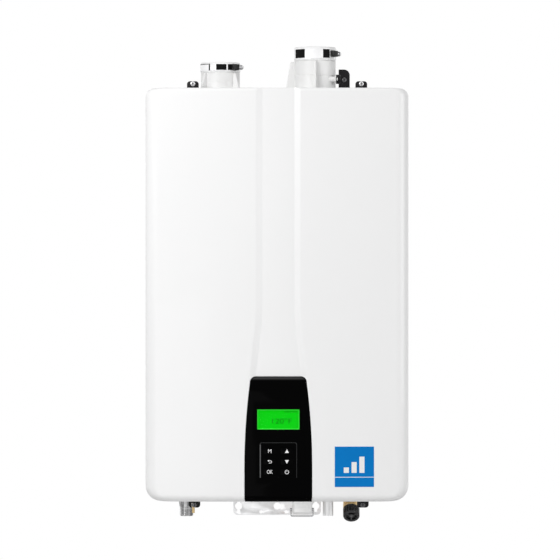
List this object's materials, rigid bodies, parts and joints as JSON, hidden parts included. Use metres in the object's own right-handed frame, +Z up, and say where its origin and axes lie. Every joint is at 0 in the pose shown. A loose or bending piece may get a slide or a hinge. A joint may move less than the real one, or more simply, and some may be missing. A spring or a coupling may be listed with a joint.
{
  "type": "tankless water heater",
  "caption": "Wall-hung condensing tankless water heater: crowned white cover with a centre channel, black control fascia, vent collars on top and pipe connections below.",
  "frame": {"origin": "middle of the upper wall bracket's row of screw holes, on the wall plane", "axes": "+X right seen from the front, +Y into the wall, +Z up"},
  "size_m": [0.44, 0.3363, 0.8177],
  "materials": {
    "white_paint": "satin",
    "galvanised": "satin",
    "white_plastic": "satin",
    "grey_plastic": "satin",
    "black_plastic": "gloss",
    "rubber": "matte",
    "band_steel": "satin",
    "cast_aluminium": "satin",
    "copper": "satin",
    "brass": "satin",
    "plated": "gloss",
    "clear_window": "gloss",
    "display": "gloss",
    "board": "satin",
    "label_blue": "satin"
  },
  "bodies": {
    "case": {"board_box": "white_plastic", "burner_hood": "band_steel", "cable_gland": "black_plastic", "case_gasket": "rubber", "case_lugs": "galvanised", "cold_inlet": "brass", "cold_pipe": "copper", "collar_seals": "rubber", "condensate_outlet": "grey_plastic", "condensate_sump": "white_plastic", "control_fascia": "black_plastic", "control_tray": "galvanised", "display_module": "display", "display_window": "clear_window", "exchanger_hangers": "galvanised", "exhaust_band": "band_steel", "exhaust_collar": "white_plastic", "fan_housing": "cast_aluminium", "fan_motor": "band_steel", "flow_sensor": "black_plastic", "flue_duct": "galvanised", "gas_inlet": "plated", "gas_pipe": "copper", "gas_valve": "cast_aluminium", "ground_stud": "brass", "hot_pipe": "copper", "igniter": "black_plastic", "intake_band": "band_steel", "intake_collar": "white_plastic", "intake_duct": "grey_plastic", "keypad_board": "board", "lower_wall_bracket": "galvanised", "main_board": "board", "mixing_valve": "black_plastic", "primary_exchanger": "copper", "rear_case": "white_paint", "secondary_exchanger": "band_steel", "top_screws": "band_steel", "trap_body": "white_plastic", "trap_hose": "rubber", "upper_wall_bracket": "galvanised", "vent_bracket": "black_plastic"},
    "cover": {"front_cover": "white_paint", "cover_lugs": "black_plastic", "cover_screws": "band_steel", "cover_label": "label_blue"},
    "filter_cap": {"filter_cap": "black_plastic"},
    "strainer": {"strainer": "band_steel"},
    "port_cap": {"port_cap": "black_plastic"},
    "trap_bail": {"trap_bail": "band_steel"},
    "fan_wheel": {"fan_wheel": "cast_aluminium"},
    "flow_turbine": {"flow_turbine": "black_plastic"},
    "flue_flap": {"flue_flap": "band_steel"},
    "mixing_spindle": {"mixing_spindle": "black_plastic"},
    "key_1_1": {"key_1_1": "black_plastic"},
    "key_1_2": {"key_1_2": "black_plastic"},
    "key_2_1": {"key_2_1": "black_plastic"},
    "key_2_2": {"key_2_2": "black_plastic"},
    "key_3_1": {"key_3_1": "black_plastic"},
    "key_3_2": {"key_3_2": "black_plastic"}
  },
  "joints": [
    {"name": "cover_slide", "type": "slide", "parent": "case", "child": "cover", "axis": [0, -1, 0], "range_m": [0, 0.2]},
    {"name": "strainer_slide", "type": "slide", "parent": "case", "child": "strainer", "axis": [0, -0.7314, -0.682], "range_m": [0, 0.003]},
    {"name": "filter_cap_turn", "type": "hinge", "parent": "strainer", "child": "filter_cap", "pos_m": [0.128, -0.094, -0.631], "axis": [0, -0.7314, -0.682], "range_deg": [0, 721]},
    {"name": "port_cap_pull", "type": "slide", "parent": "case", "child": "port_cap", "axis": [1, 0, 0], "range_m": [0, 0.025]},
    {"name": "trap_bail_swing", "type": "hinge", "parent": "case", "child": "trap_bail", "pos_m": [0.0427, -0.165, -0.654], "axis": [-1, 0, 0], "range_deg": [-20, 100]},
    {"name": "fan_spin", "type": "hinge", "parent": "case", "child": "fan_wheel", "pos_m": [-0.0977, -0.13, -0.033], "axis": [0, 0, 1], "continuous": true},
    {"name": "turbine_spin", "type": "hinge", "parent": "case", "child": "flow_turbine", "pos_m": [0.128, -0.08, -0.5735], "axis": [0, 0, 1], "continuous": true},
    {"name": "flap_lift", "type": "hinge", "parent": "case", "child": "flue_flap", "pos_m": [0.0655, -0.114, -0.03], "axis": [-1, 0, 0], "range_deg": [0, 70]},
    {"name": "spindle_turn", "type": "hinge", "parent": "case", "child": "mixing_spindle", "pos_m": [0.03, -0.064, -0.515], "axis": [1, 0, 0], "range_deg": [0, 90]},
    {"name": "key_1_1_press", "type": "slide", "parent": "case", "child": "key_1_1", "axis": [0, 1, 0], "range_m": [0, 0.0008], "stiffness_N_per_m": 300, "springref_m": -0.0005},
    {"name": "key_1_2_press", "type": "slide", "parent": "case", "child": "key_1_2", "axis": [0, 1, 0], "range_m": [0, 0.0008], "stiffness_N_per_m": 300, "springref_m": -0.0005},
    {"name": "key_2_1_press", "type": "slide", "parent": "case", "child": "key_2_1", "axis": [0, 1, 0], "range_m": [0, 0.0008], "stiffness_N_per_m": 300, "springref_m": -0.0005},
    {"name": "key_2_2_press", "type": "slide", "parent": "case", "child": "key_2_2", "axis": [0, 1, 0], "range_m": [0, 0.0008], "stiffness_N_per_m": 300, "springref_m": -0.0005},
    {"name": "key_3_1_press", "type": "slide", "parent": "case", "child": "key_3_1", "axis": [0, 1, 0], "range_m": [0, 0.0008], "stiffness_N_per_m": 300, "springref_m": -0.0005},
    {"name": "key_3_2_press", "type": "slide", "parent": "case", "child": "key_3_2", "axis": [0, 1, 0], "range_m": [0, 0.0008], "stiffness_N_per_m": 300, "springref_m": -0.0005}
  ],
  "couplings": [
    {"joint": "filter_cap_turn", "follows": "strainer_slide", "rad_per_m": 4188.8}
  ]
}
